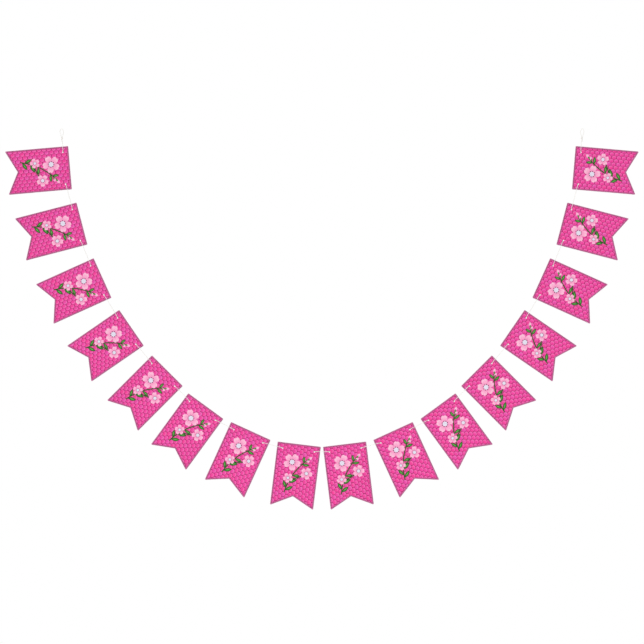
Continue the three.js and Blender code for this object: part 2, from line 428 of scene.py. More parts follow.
def bow(number, across, down):
    """How far a flag's cloth stands behind its flat plane. The bow sets in and ends without a kink."""
    x = np.clip((down - FLAT_BAND_MM) / (FLAG_HEIGHT_MM - FLAT_BAND_MM), 0, 1)
    share = x**3 * (x * (6 * x - 15) + 10)
    side = across / HALF_WIDTH_MM
    curl = TAIL_CURL_MM * math.cos(CURL_STEP * number)
    sway = TAIL_SWAY_MM * math.sin(SWAY_STEP * number + SWAY_START)
    wave = np.sin(2 * math.pi * (down + RIPPLE_LEAN * across) / RIPPLE_LENGTH_MM + number)
    ripple = RIPPLE_MM * wave * np.clip((down - FLAT_BAND_MM) / FLAT_BAND_MM, 0, 1)
    return share * (curl * side**2 + sway * side) + ripple


def in_flag(number, across, down, away):
    """Points of a flag's own frame as points of the swag's. away counts from the cloth's middle."""
    row = SWAG[number]
    points = np.array([row.across, 0, row.rise]) + np.multiply.outer(across, climbing(row.tilt))
    points += np.multiply.outer(down, climbing(row.tilt - 90))
    points[..., 1] += bow(number, across, down) + away
    return points


# %% The grid lines of a flag
BLOCK_CELLS = 4
BLOCK_CELL_MM = 2.2
CELL_MM = 6
STRAIGHT_ROWS_TO_MM = 160
NOTCH_ROWS = 7
EDGE_TUCK_MM = 0.3


def lines_between(start, end, cell=CELL_MM):
    return np.linspace(start, end, max(1, round((end - start) / cell)) + 1)


block_half = BLOCK_CELLS * BLOCK_CELL_MM / 2
side_lines = np.concatenate(
    [
        lines_between(0, HOLE_REACH_MM - block_half),
        lines_between(HOLE_REACH_MM - block_half, HOLE_REACH_MM + block_half, BLOCK_CELL_MM)[1:],
        lines_between(HOLE_REACH_MM + block_half, HALF_WIDTH_MM - EDGE_TUCK_MM)[1:],
    ]
)
columns = np.concatenate([-side_lines[:0:-1], side_lines])
rows = np.concatenate(
    [
        lines_between(EDGE_TUCK_MM, HOLE_INSET_MM - block_half),
        lines_between(HOLE_INSET_MM - block_half, HOLE_INSET_MM + block_half, BLOCK_CELL_MM)[1:],
        lines_between(HOLE_INSET_MM + block_half, STRAIGHT_ROWS_TO_MM)[1:],
    ]
)
print("flag grid:", len(columns) - 1, "columns,", len(rows) - 1 + NOTCH_ROWS, "rows")


def grid_points():
    """Across and down of every grid point, the lowest rows drawn down to the notched edge."""
    across = np.repeat(columns[:, None], len(rows) + NOTCH_ROWS, 1)
    edge = FLAG_HEIGHT_MM - EDGE_TUCK_MM - NOTCH_DEPTH_MM * (1 - np.abs(columns) / HALF_WIDTH_MM)
    share = np.arange(1, NOTCH_ROWS + 1) / NOTCH_ROWS
    lowest = STRAIGHT_ROWS_TO_MM + np.multiply.outer(edge - STRAIGHT_ROWS_TO_MM, share)
    down = np.concatenate([np.repeat(rows[None], len(columns), 0), lowest], 1)
    return across, down


# %% [markdown]
# Sewn corners are never sharp, so the corner points draw in a little, under the hem thread that will
# cover them.

# %% One side of a flag as points and faces
CORNER_RADIUS_MM = 2.0
TAIL_HALF_ANGLE = (math.pi / 2 - math.atan2(NOTCH_DEPTH_MM, HALF_WIDTH_MM)) / 2
RING_SIDES = 4 * BLOCK_CELLS
ring_turns = np.arange(RING_SIDES) * 2 * math.pi / RING_SIDES
ring_shape = np.stack([np.cos(ring_turns), np.sin(ring_turns)], 1)
block_border = np.round(ring_shape / np.abs(ring_shape).max(1, keepdims=True) * BLOCK_CELLS / 2).astype(int)


def draw_in(across, down, half_angle, row, way):
    """Moves the two corner points of a grid's first or last row to where a rounded corner would lie."""
    pull = CORNER_RADIUS_MM / math.sin(half_angle) - CORNER_RADIUS_MM
    for i in (0, -1):
        across[i, row] -= np.sign(across[i, row]) * pull * math.sin(half_angle)
        down[i, row] += way * pull * math.cos(half_angle)


def flag_side():
    """Every point of one side, its faces, and its outline and hole rings as point numbers."""
    across, down = grid_points()
    draw_in(across, down, math.pi / 4, 0, 1)
    draw_in(across, down, TAIL_HALF_ANGLE, -1, -1)
    points = [np.stack([across.ravel(), down.ravel()], 1)]
    number = np.arange(across.size).reshape(across.shape)
    faces = np.stack([number[:-1, :-1], number[1:, :-1], number[1:, 1:], number[:-1, 1:]], -1)
    keep = np.ones(faces.shape[:2], bool)
    bridges = []
    rings = []
    for side in (-1, 1):
        hole = np.array([side * HOLE_REACH_MM, HOLE_INSET_MM])
        i, j = int(np.abs(columns - hole[0]).argmin()), int(np.abs(rows - hole[1]).argmin())
        reach = BLOCK_CELLS // 2
        keep[i - reach : i + reach, j - reach : j + reach] = False
        ring = across.size + len(rings) * RING_SIDES + np.arange(RING_SIDES)
        outer = number[i + block_border[:, 0], j + block_border[:, 1]]
        points.append(hole + ring_shape * HOLE_DIAMETER_MM / 2)
        bridges.append(np.stack([ring, outer, np.roll(outer, -1), np.roll(ring, -1)], 1))
        rings.append(ring)
    faces = np.concatenate([faces[keep].reshape(-1, 4), *bridges])
    outline = np.concatenate([number[:-1, 0], number[-1, :-1], number[:0:-1, -1], number[0, :0:-1]])
    return np.concatenate(points), faces, outline, rings


# %% [markdown]
# The two sides share their outline and their rings, so the sheet closes with one strip of faces along
# each. The grid's points carry their own place on the flag as UVs in millimetres, and the print and the
# weave are both drawn from it.

# %% Flags
side_points, side_faces, outline, hole_rings = flag_side()
used = np.unique(side_faces)
renumber = np.full(len(side_points), -1)
renumber[used] = np.arange(len(used))
side_points = side_points[used]
side_faces = renumber[side_faces]
loops_of_points = [renumber[outline], *(renumber[ring][::-1] for ring in hole_rings)]


def canvas_flag(number):
    half = CLOTH_THICKNESS_MM / 2
    count = len(side_points)
    front, back = (in_flag(number, *side_points.T, away) for away in (-half, half))
    rims = []
    for ring in loops_of_points:
        following = np.roll(ring, -1)
        rims.append(np.stack([ring, following, following + count, ring + count], 1))
    faces = np.concatenate([side_faces[:, ::-1], side_faces + count, *rims])
    uvs = np.tile(side_points, (2, 1))[faces].reshape(-1, 2)
    points = in_frame(np.concatenate([front, back]))
    flag = mesh_object(f"canvas_flag_{number + 1:02d}", points, faces.tolist(), uvs)
    material_of = np.ones(len(faces), int)
    material_of[: len(side_faces)] = 0
    flag.data.polygons.foreach_set("material_index", material_of)
    return flag


flags = [canvas_flag(number) for number in range(len(SWAG))]
print("flags:", len(flags), "sheets of", len(flags[0].data.polygons), "faces")

# %% [markdown]
# The dark line round each flag is its hem: plum thread whipped over the cut edge. One thread goes round
# and round the edge of the cloth while it travels along it, so it is one closed tube on a flat helix.
# Its way round the edge is a table of seven points, from 4.4 mm inside the edge on the front to as far
# inside on the back. The outline it travels has its corners rounded off. Five sides are enough for a
# thread under a millimetre thick, because each flag has nearly seven hundred stitches.

# %% The outline that the hem thread travels
Corner = namedtuple("Corner", "across down")
OUTLINE = [
    Corner(-HALF_WIDTH_MM, 0),
    Corner(-HALF_WIDTH_MM, FLAG_HEIGHT_MM),
    Corner(0, FLAG_HEIGHT_MM - NOTCH_DEPTH_MM),
    Corner(HALF_WIDTH_MM, FLAG_HEIGHT_MM),
    Corner(HALF_WIDTH_MM, 0),
]
ARC_STEPS = 6


def rounded_outline():
    """Points round the flag and the direction out of the cloth at each, with an arc at every corner."""
    corners = np.array(OUTLINE, float)
    points = []
    outward = []
    for before, here, after in zip(np.roll(corners, 1, 0), corners, np.roll(corners, -1, 0)):
        arriving, leaving = unit(here - before), unit(after - here)
        out_before = np.array([-arriving[1], arriving[0]])
        out_after = np.array([-leaving[1], leaving[0]])
        turn = math.atan2(arriving[0] * leaving[1] - arriving[1] * leaving[0], arriving @ leaving)
        convex = 1 if turn < 0 else -1
        middle = here - convex * (out_before + out_after) / (1 + out_before @ out_after) * CORNER_RADIUS_MM
        for share in np.linspace(0, 1, ARC_STEPS):
            c, s = math.cos(turn * share), math.sin(turn * share)
            out = np.array([c * out_before[0] - s * out_before[1], s * out_before[0] + c * out_before[1]])
            points.append(middle + convex * out * CORNER_RADIUS_MM)
            outward.append(out)
    return np.array(points), np.array(outward)


# %% Hem threads
HEM_THREAD_RADIUS_MM = 0.45
HEM_STITCH_MM = 1.12
Point = namedtuple("Point", "out away")
ROUND_THE_EDGE = [
    Point(out=-4.4, away=-0.9),
    Point(out=-1.1, away=-1.06),
    Point(out=0.0, away=-0.86),
    Point(out=0.36, away=0),
    Point(out=0.0, away=0.86),
    Point(out=-1.1, away=1.06),
    Point(out=-4.4, away=0.9),
]
THREAD_SIDES = 5


def hem_route():
    """Where on the edge each point of the hem thread is, the direction out, and its place round the edge.

    Stitches are even along the edge or their inner ends, whichever is longer, so that they cover the notch.
    """
    points, outward = rounded_outline()
    points, outward = np.append(points, points[:1], 0), np.append(outward, outward[:1], 0)
    inner = points + outward * ROUND_THE_EDGE[0].out
    lengths = np.maximum(*(np.linalg.norm(np.diff(line, axis=0), axis=1) for line in (points, inner)))
    along = np.concatenate([[0], np.cumsum(lengths)])
    stitches = round(along[-1] / HEM_STITCH_MM)
    steps = stitches * len(ROUND_THE_EDGE)
    at = np.arange(steps) * along[-1] / steps
    edge = np.stack([np.interp(at, along, points[:, k]) for k in range(2)], 1)
    out = unit(np.stack([np.interp(at, along, outward[:, k]) for k in range(2)], 1))
    return edge, out, np.tile(np.array(ROUND_THE_EDGE), (stitches, 1)), stitches


hem_edge, hem_out, hem_round, hem_stitches = hem_route()


def hem_thread(number):
    across, down = (hem_edge + hem_out * hem_round[:, :1]).T
    line = in_flag(number, across, down, hem_round[:, 1])
    return tube(f"hem_thread_{number + 1:02d}", line, [HEM_THREAD_RADIUS_MM] * THREAD_SIDES, closed=True)


hems = [hem_thread(number) for number in range(len(SWAG))]
print("hems:", hem_stitches, "stitches each,", len(hems[0].data.polygons), "faces")

# %% [markdown]
# Each flag and its hem thread join the swag's root, the flag's own solid from the model is hidden, and a
# print says how far the new sheet strays from that solid.

for number, (flag, hem) in enumerate(zip(flags, hems)):
    node = f"flag_{number + 1:02d}"
    for piece in (flag, hem):
        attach(piece, "root")
    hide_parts(node)
    low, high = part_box(node)
    corners = np.array([vertex.co for vertex in flag.data.vertices])
    gap = max(np.abs(corners.min(0) - low).max(), np.abs(corners.max(0) - high).max())
    print(node, "differs from its solid by at most", round(gap / MM, 1), "mm")

# %% [markdown]
# Every material below is built from nodes. One function adds a node: it sets the node up, feeds its
# inputs with values or with links, and gives back its first output, so that nodes read like sums.
# Another turns the hex colours that a paint chart gives into the linear light that Blender computes
# with.


# %% Helpers for materials
def linear(hex_colour):
    """An sRGB hex colour as linear red, green, blue and alpha."""
    parts = [int(hex_colour[i : i + 2], 16) / 255 for i in (1, 3, 5)]
    return [x / 12.92 if x <= 0.04045 else ((x + 0.055) / 1.055) ** 2.4 for x in parts] + [1.0]


def add_node(tree, kind, feeds=(), stops=None, **settings):
    """Adds a shader node and gives its first output. feeds are values or outputs, in order or by name."""
    node = tree.nodes.new("ShaderNode" + kind)
    for name, value in settings.items():
        setattr(node, name, value)
    inputs = [socket for socket in node.inputs if socket.enabled]
    for key, feed in feeds.items() if isinstance(feeds, dict) else enumerate(feeds):
        socket = node.inputs[key] if isinstance(key, str) else inputs[key]
        if isinstance(feed, bpy.types.NodeSocket):
            tree.links.new(feed, socket)
        else:
            socket.default_value = feed
    if stops:
        first, *others = stops.items()
        elements = node.color_ramp.elements
        elements.remove(elements[1])
        elements[0].position, elements[0].color = first[0], linear(first[1])
        for position, colour in others:
            elements.new(position).color = linear(colour)
    return next((socket for socket in node.outputs if socket.enabled), None)


def new_group(name, inputs, outputs):
    """An empty node group, the outputs that feed it, and the inputs that it gives its results to."""
    group = bpy.data.node_groups.new(name, "ShaderNodeTree")
    for direction, sockets in (("INPUT", inputs), ("OUTPUT", outputs)):
        for socket, kind in sockets.items():
            group.interface.new_socket(socket, in_out=direction, socket_type="NodeSocket" + kind)
    return group, group.nodes.new("NodeGroupInput").outputs, group.nodes.new("NodeGroupOutput").inputs


def new_material(name):
    """A material with an empty node tree."""
    material = bpy.data.materials.new(name)
    material.use_nodes = True
    material.node_tree.nodes.clear()
    return material, material.node_tree


# %% [markdown]
# The ground of the print is a common honeycomb of puffy pink cells, in upright columns that are
# staggered by half a cell. Blender's own cell texture can't be set out that regularly, so the cells come
# from two plain grids laid half a cell apart: whichever centre is nearer owns a point. The cells are
# hexagons drawn out to 17 mm, so a place is first squashed to where it would lie among regular ones. A
# little noise pushes the points about before that, because a printed honeycomb of this kind is drawn by
# hand and its lines waver.

# %% Which honeycomb cell owns a point
COLUMN_MM = 11.7
CELL_HEIGHT_MM = 17.0
REGULAR_HEIGHT_MM = COLUMN_MM * 2 / math.sqrt(3)
WOBBLE_MM = 1.8
WOBBLE_SIZE_MM = 9.0
NOISE_MIDDLE = (0.5, 0.5, 0.5)


def nearest_cell():
    group, entry, leave = new_group(
        "nearest_cell", {"Place": "Vector"}, {"From Middle": "Vector", "Middle": "Vector"}
    )
    pitch = (2 * COLUMN_MM, REGULAR_HEIGHT_MM, 1)
    half = (COLUMN_MM, REGULAR_HEIGHT_MM / 2, 0)
    flatten = (1, REGULAR_HEIGHT_MM / CELL_HEIGHT_MM, 0)
    noise = add_node(group, "TexNoise", (entry["Place"], 1 / WOBBLE_SIZE_MM, 1.0), noise_dimensions="2D")
    push = add_node(group, "VectorMath", (noise.node.outputs["Color"], NOISE_MIDDLE), operation="SUBTRACT")
    push = add_node(group, "VectorMath", (push, WOBBLE_MM), operation="SCALE")
    place = add_node(group, "VectorMath", (entry["Place"], push), operation="ADD")
    place = add_node(group, "VectorMath", (place, flatten), operation="MULTIPLY")
    shifted = add_node(group, "VectorMath", (place, half), operation="ADD")
    even = add_node(group, "VectorMath", (shifted, pitch), operation="SNAP")
    corner = add_node(group, "VectorMath", (place, pitch), operation="SNAP")
    odd = add_node(group, "VectorMath", (corner, half), operation="ADD")
    to_even = add_node(group, "VectorMath", (place, even), operation="DISTANCE")
    to_odd = add_node(group, "VectorMath", (place, odd), operation="DISTANCE")
    odd_wins = add_node(group, "Math", (to_odd, to_even), operation="LESS_THAN")
    middle = add_node(group, "Mix", (odd_wins, even, odd), data_type="VECTOR")
    from_middle = add_node(group, "VectorMath", (place, middle), operation="SUBTRACT")
    group.links.new(from_middle, leave["From Middle"])
    group.links.new(middle, leave["Middle"])
    return group


cell_group = nearest_cell()
print("nearest cell:", len(cell_group.nodes), "nodes")

# %% [markdown]
# A hexagon's own distance formula says how near a point is to the gap round its cell: 0 in the middle
# and 1 in the gap. Each cell looks puffy because its upper right is lighter and its lower left darker,
# as if light fell on it, and because its rim is a little lighter than its middle. The gap is thin, crisp
# and dark. All of that is printed. Each cell also gets a tone of its own from a random number that
# belongs to its middle.

# %% Honeycomb ground
GAP = "#960A56"
PUFF = {0.0: "#FB85C6", 0.3: "#F660B1", 0.65: "#EC3D9A", 1.0: "#D61D7D"}
TONES = {0.0: "#FD3D88", 0.35: "#F4489B", 0.75: "#F04EA5", 1.0: "#DC5CBF"}
TONE_SHARE = 0.26
MIDDLE_SHADE = 0.6
SIDE_SHADE = (-0.050, 0.024, 0)
RIM_LIGHT = 0.3
LOW_GAP = 1.06
GAP_STARTS = 0.845
CELL_ROUNDING = 0.25


def honeycomb():
    group, entry, leave = new_group("honeycomb", {"Place": "Vector"}, {"Color": "Color"})
    from_middle = add_node(group, "Group", {"Place": entry["Place"]}, node_tree=cell_group)
    middle = from_middle.node.outputs["Middle"]
    folded = add_node(group, "VectorMath", (from_middle,), operation="ABSOLUTE")
    slanted = (math.sqrt(3) / REGULAR_HEIGHT_MM, 1 / REGULAR_HEIGHT_MM, 0)
    upright = (0, 2 * LOW_GAP / REGULAR_HEIGHT_MM, 0)
    to_slanted = add_node(group, "VectorMath", (folded, slanted), operation="DOT_PRODUCT")
    to_upright = add_node(group, "VectorMath", (folded, upright), operation="DOT_PRODUCT")
    rim = add_node(group, "Math", (to_slanted, to_upright, CELL_ROUNDING), operation="SMOOTH_MAX")
    side = add_node(group, "VectorMath", (from_middle, SIDE_SHADE), operation="DOT_PRODUCT")
    depth = add_node(group, "Math", (rim, -RIM_LIGHT, side), operation="MULTIPLY_ADD")
    depth = add_node(group, "Math", (depth, MIDDLE_SHADE), operation="ADD")
    puff = add_node(group, "ValToRGB", (depth,), stops=PUFF)
    pick = add_node(group, "TexWhiteNoise", (middle,), noise_dimensions="2D")
    tone = add_node(group, "ValToRGB", (pick,), stops=TONES)
    tinted = add_node(group, "Mix", (TONE_SHARE, puff, tone), data_type="RGBA")
    gap = add_node(group, "MapRange", (rim, GAP_STARTS, 1.0))
    inked = add_node(group, "Mix", (gap, tinted, linear(GAP)), data_type="RGBA")
    group.links.new(inked, leave["Color"])
    return group


ground_group = honeycomb()
print("honeycomb:", len(ground_group.nodes), "nodes")

# %% [markdown]
# On the ground lies a plain spray of blossom, built from three forms. Each is drawn once, as a node
# group in its own unit frame, and used as often as a table says. The first is the stalk: a line from 0
# to 1 along X, bowed to one side as a parabola is, four times x times 1 minus x. Its cover is 1 on the
# form and 0 off it.

# %% Stalk
LEAF_GREENS = {0.0: "#164A15", 0.045: "#1A591B", 0.1: "#387A2D", 0.17: "#6AB44F"}
STALK_GREEN = "#225618"
STALK_CORE = 0.8
SOFT_EDGE = 0.01


def stalk():
    inputs = {"Place": "Vector", "Bow": "Float", "Half": "Float"}
    group, entry, leave = new_group("stalk", inputs, {"Cover": "Float"})
    along = add_node(group, "SeparateXYZ", (entry["Place"],))
    across = along.node.outputs["Y"]
    run = add_node(group, "MapRange", (along,))
    rest = add_node(group, "Math", (1.0, run), operation="SUBTRACT")
    arch = add_node(group, "Math", (run, rest), operation="MULTIPLY")
    bowed = add_node(group, "Math", (entry["Bow"], 4.0), operation="MULTIPLY")
    off = add_node(group, "Math", (arch, bowed, across), operation="MULTIPLY_ADD")
    beyond = add_node(group, "Math", (along, run), operation="SUBTRACT")
    away = add_node(group, "CombineXYZ", (beyond, off))
    away = add_node(group, "VectorMath", (away,), operation="LENGTH")
    inner = add_node(group, "Math", (entry["Half"], STALK_CORE), operation="MULTIPLY")
    cover = add_node(group, "MapRange", (away, inner, entry["Half"], 1.0, 0.0))
    group.links.new(cover, leave["Cover"])
    return group


# %% [markdown]
# A leaf is a sine arch on each side of its midrib, dark along its edge and light in its middle. A bud
# has the same outline, fuller and in pink, so one group draws both and takes its fullness as an input.


# %% Leaf and bud
def blade(name, colours):
    inputs = {"Place": "Vector", "Fullness": "Float"}
    group, entry, leave = new_group(name, inputs, {"Color": "Color", "Cover": "Float"})
    along = add_node(group, "SeparateXYZ", (entry["Place"],))
    across = along.node.outputs["Y"]
    run = add_node(group, "MapRange", (along, 0.0, 1.0, 0.0, math.pi))
    arch = add_node(group, "Math", (run,), operation="SINE")
    arch = add_node(group, "Math", (arch, entry["Fullness"]), operation="MULTIPLY")
    half = add_node(group, "Math", (arch, SOFT_EDGE), operation="SUBTRACT")
    off = add_node(group, "Math", (across,), operation="ABSOLUTE")
    inside = add_node(group, "Math", (half, off), operation="SUBTRACT")
    cover = add_node(group, "MapRange", (inside, -SOFT_EDGE, SOFT_EDGE))
    shade = add_node(group, "ValToRGB", (inside,), stops=colours)
    group.links.new(shade, leave["Color"])
    group.links.new(cover, leave["Cover"])
    return group


BUD_PINKS = {0.0: "#E774AC", 0.06: "#F48FC0", 0.16: "#FFBBDA"}
stalk_group = stalk()
leaf_group = blade("leaf", LEAF_GREENS)
bud_group = blade("bud", BUD_PINKS)
print("stalk:", len(stalk_group.nodes), "nodes, leaf:", len(leaf_group.nodes), "nodes")

# %% [markdown]
# A blossom is one formula in polar form. Five petals are where a cosine of two and a half times the
# angle is large, whichever its sign, and a high power of the same cosine nicks each petal's tip.

# %% Petals
PETALS = 5
PETAL_ROOT = 0.4
PETAL_FULLNESS = 0.5
NICK_DEPTH = 0.1
NICK_SHARPNESS = 40.0


def petals():
    outputs = {"Inside": "Float", "Radius": "Float", "Turn": "Float"}
    group, entry, leave = new_group("petals", {"Place": "Vector"}, outputs)
    x = add_node(group, "SeparateXYZ", (entry["Place"],))
    radius = add_node(group, "VectorMath", (entry["Place"],), operation="LENGTH")
    turn = add_node(group, "Math", (x.node.outputs["Y"], x), operation="ARCTAN2")
    waves = add_node(group, "Math", (turn, PETALS / 2), operation="MULTIPLY")
    waves = add_node(group, "Math", (waves,), operation="COSINE")
    crest = add_node(group, "Math", (waves,), operation="ABSOLUTE")
    belly = add_node(group, "Math", (crest, PETAL_FULLNESS), operation="POWER")
    nick = add_node(group, "Math", (crest, NICK_SHARPNESS), operation="POWER")
    reach = add_node(group, "Math", (belly, 1 - PETAL_ROOT, PETAL_ROOT), operation="MULTIPLY_ADD")
    reach = add_node(group, "Math", (nick, -NICK_DEPTH, reach), operation="MULTIPLY_ADD")
    inside = add_node(group, "Math", (reach, radius), operation="SUBTRACT")
    for name, result in (("Inside", inside), ("Radius", radius), ("Turn", turn)):
        group.links.new(result, leave[name])
    return group


petal_group = petals()

# %% [markdown]
# The petals are palest at their tips, with a darker line round them and a pale lavender eye. A ring of
# small dark anthers lies round the eye: the angle is wrapped into as many sectors as there are anthers,
# and each sector has one dot. Each pair of radii below is where an edge starts and where it ends.

# %% Blossom
ANTHERS = 8
ANTHER_RING = 0.31
ANTHER_RADII = (0.045, 0.062)
EYE_RADII = (0.25, 0.28)
PETAL_LINE = (0.015, 0.05)
PETAL_PINKS = {0.2: "#F07FB6", 0.42: "#F9A0C9", 0.85: "#FFC2DC"}
PETAL_EDGE = "#E880B2"
EYE_LAVENDER = "#E3E1F0"
ANTHER_BLACK = "#20131B"


def blossom():
    group, entry, leave = new_group("blossom", {"Place": "Vector"}, {"Color": "Color", "Cover": "Float"})
    inside = add_node(group, "Group", {"Place": entry["Place"]}, node_tree=petal_group)
    radius, turn = inside.node.outputs["Radius"], inside.node.outputs["Turn"]
    cover = add_node(group, "MapRange", (inside, -SOFT_EDGE, SOFT_EDGE))
    colour = add_node(group, "ValToRGB", (radius,), stops=PETAL_PINKS)
    edge = add_node(group, "MapRange", (inside, *PETAL_LINE, 1.0, 0.0))
    colour = add_node(group, "Mix", (edge, colour, linear(PETAL_EDGE)), data_type="RGBA")
    eye = add_node(group, "MapRange", (radius, *EYE_RADII, 1.0, 0.0))
    colour = add_node(group, "Mix", (eye, colour, linear(EYE_LAVENDER)), data_type="RGBA")
    sector = math.pi / ANTHERS
    folded = add_node(group, "Math", (turn, sector, -sector), operation="WRAP")
    folded = add_node(group, "Math", (folded,), operation="SINE")
    off = add_node(group, "Math", (folded, radius), operation="MULTIPLY")
    ahead = add_node(group, "Math", (radius, ANTHER_RING), operation="SUBTRACT")
    away = add_node(group, "CombineXYZ", (off, ahead))
    away = add_node(group, "VectorMath", (away,), operation="LENGTH")
    dots = add_node(group, "MapRange", (away, *ANTHER_RADII, 1.0, 0.0))
    colour = add_node(group, "Mix", (dots, colour, linear(ANTHER_BLACK)), data_type="RGBA")
    group.links.new(colour, leave["Color"])
    group.links.new(cover, leave["Cover"])
    return group


blossom_group = blossom()
print("petals:", len(petal_group.nodes), "nodes, blossom:", len(blossom_group.nodes), "nodes")

# %% [markdown]
# The spray leans across the flag: a bowed twig, a side stalk, three blossoms of different sizes, leaves
# and two buds. Leaves and buds grow from the twig, so their table says how far along it they start and
# how far they lean away, and the twig's own curve gives their places. The last two leaves are small, and
# cup the buds. All sizes are in millimetres.

# %% Twig, and what grows from it
Stalk = namedtuple("Stalk", "across down length turn bow")
Sprout = namedtuple("Sprout", "form share lean size fullness")
Bloom = namedtuple("Bloom", "across down size turn")
STALK_HALF_MM = 2.2
TWIG = Stalk(across=-32, down=170, length=140, turn=-60, bow=12)
SPROUTS = [
    Sprout("leaf", share=0.04, lean=46, size=32, fullness=0.2),
    Sprout("leaf", share=0.10, lean=-38, size=29, fullness=0.2),
    Sprout("leaf", share=0.24, lean=44, size=34, fullness=0.19),
    Sprout("leaf", share=0.44, lean=58, size=28, fullness=0.2),
    Sprout("leaf", share=0.80, lean=48, size=28, fullness=0.2),
    Sprout("leaf", share=0.86, lean=-46, size=24, fullness=0.21),
    Sprout("bud", share=0.99, lean=4, size=19, fullness=0.32),
    Sprout("bud", share=0.92, lean=38, size=16, fullness=0.32),
    Sprout("leaf", share=0.965, lean=4, size=12, fullness=0.25),
    Sprout("leaf", share=0.9, lean=38, size=10, fullness=0.25),
]
BLOOMS = [
    Bloom(across=-25, down=120, size=18, turn=20),
    Bloom(across=37, down=98, size=22, turn=75),
    Bloom(across=-17, down=64, size=31.5, turn=10),
]


def on_twig(share):
    """The place at a share of the twig's length, and the twig's direction there in degrees."""
    turn = math.radians(TWIG.turn)
    along = np.array([math.cos(turn), math.sin(turn)])
    aside = np.array([-math.sin(turn), math.cos(turn)])
    offset = -4 * TWIG.bow * share * (1 - share)
    slope = -4 * TWIG.bow * (1 - 2 * share) / TWIG.length
    place = np.array([TWIG.across, TWIG.down]) + along * share * TWIG.length + aside * offset
    return place, TWIG.turn + math.degrees(math.atan(slope))


SIDE_SHARE = 0.34
SIDE_BOW_MM = -4
side_root = on_twig(SIDE_SHARE)[0]
side_way = np.array([BLOOMS[1].across, BLOOMS[1].down]) - side_root
side_turn = math.degrees(math.atan2(side_way[1], side_way[0]))
SIDE_STALK = Stalk(*side_root, float(np.hypot(*side_way)), side_turn, SIDE_BOW_MM)
print("twig ends at", on_twig(1.0)[0].round(1), "mm, side stalk", round(SIDE_STALK.length, 1), "mm long")

# %% [markdown]
# A Mapping node of the Texture type turns a place on the flag into a place in a form's own frame. Each
# form is then laid over what is already painted, the stalks first and the blossoms last, as a screen
# printer would lay down inks.

# %% The whole print
Form = namedtuple("Form", "drawn across down size turn feeds")


def laid_forms():
    """Every form of the spray, from the lowest ink to the topmost."""
    forms = []
    for line in (TWIG, SIDE_STALK):
        feeds = {"Bow": line.bow / line.length, "Half": STALK_HALF_MM / line.length}
        forms.append(Form(stalk_group, line.across, line.down, line.length, line.turn, feeds))
    for sprout in SPROUTS:
        root, turn = on_twig(sprout.share)
        drawn = bud_group if sprout.form == "bud" else leaf_group
        forms.append(Form(drawn, *root, sprout.size, turn + sprout.lean, {"Fullness": sprout.fullness}))
    for bloom in BLOOMS:
        forms.append(Form(blossom_group, *bloom, {}))
    return forms


def printed_picture():
    group, entry, leave = new_group("print", {"Place": "Vector"}, {"Color": "Color"})
    painted = add_node(group, "Group", {"Place": entry["Place"]}, node_tree=ground_group)
    for form in laid_forms():
        lies = ((form.across, form.down, 0), (0, 0, math.radians(form.turn)), (form.size, form.size, 1))
        place = add_node(group, "Mapping", (entry["Place"], *lies), vector_type="TEXTURE")
        drawn = add_node(group, "Group", {"Place": place, **form.feeds}, node_tree=form.drawn)
        colour = linear(STALK_GREEN) if form.drawn == stalk_group else drawn
        cover = drawn.node.outputs["Cover"]
        painted = add_node(group, "Mix", (cover, painted, colour), data_type="RGBA")
    group.links.new(painted, leave["Color"])
    return group


print_group = printed_picture()
print("print:", len(print_group.nodes), "nodes")

# %% [markdown]
# The cloth is cotton canvas, a plain weave: threads pass over and under one another by turns, so which
# of the two lies on top alternates like a chessboard, and the height is that of the thread on top. The
# real threads are about 0.5 mm apart. They are drawn at 1.1 mm, because finer ones vanish in the
# picture. A slow noise gives thick and thin threads.

# %% Weave
THREAD_MM = 1.1
CROSSING = 0.25
SLUB_MM = 0.7
SLUB_SHARE = 0.5


def weave():
    group, entry, leave = new_group("weave", {"Place": "Vector"}, {"Height": "Float"})
    waves = add_node(group, "VectorMath", (entry["Place"], math.pi / THREAD_MM), operation="SCALE")
    waves = add_node(group, "VectorMath", (waves,), operation="SINE")
    warp = add_node(group, "SeparateXYZ", (waves,))
    weft = warp.node.outputs["Y"]
    board = add_node(group, "Math", (warp, weft), operation="MULTIPLY")
    weft_over = add_node(group, "MapRange", (board, -CROSSING, CROSSING))
    warp = add_node(group, "Math", (warp,), operation="ABSOLUTE")
    weft = add_node(group, "Math", (weft,), operation="ABSOLUTE")
    top = add_node(group, "Mix", (weft_over, warp, weft), data_type="FLOAT")
    slubs = add_node(group, "TexNoise", (entry["Place"], 1 / SLUB_MM, 3.0), noise_dimensions="2D")
    height = add_node(group, "Math", (slubs, SLUB_SHARE, top), operation="MULTIPLY_ADD")
    group.links.new(height, leave["Height"])
    return group


weave_group = weave()
print("weave:", len(weave_group.nodes), "nodes")

# %% [markdown]
# Printed cotton canvas is matt, with a faint sheen from its fibres. Its colour is painted a little darker
# in the hollows of the weave and a little lighter on the crests, as shade and highlight of the threads. The
# print is on one side. On the back it strikes through, as a paler picture of itself in the bare cotton.

# %% Printed canvas and its back
COTTON = {"IOR": 1.45, "Specular IOR Level": 0.3}
BARE_COTTON = "#F6F0EE"
STRIKE_THROUGH = 0.4
HOLLOW_TO_CREST = (0.2, 1.2)
# How much the colour is painted darker, as shade, in a hollow of the weave and lighter, as highlight, on a
# crest.
HOLLOW_TO_CREST_SHADE = (0.84, 1.03)


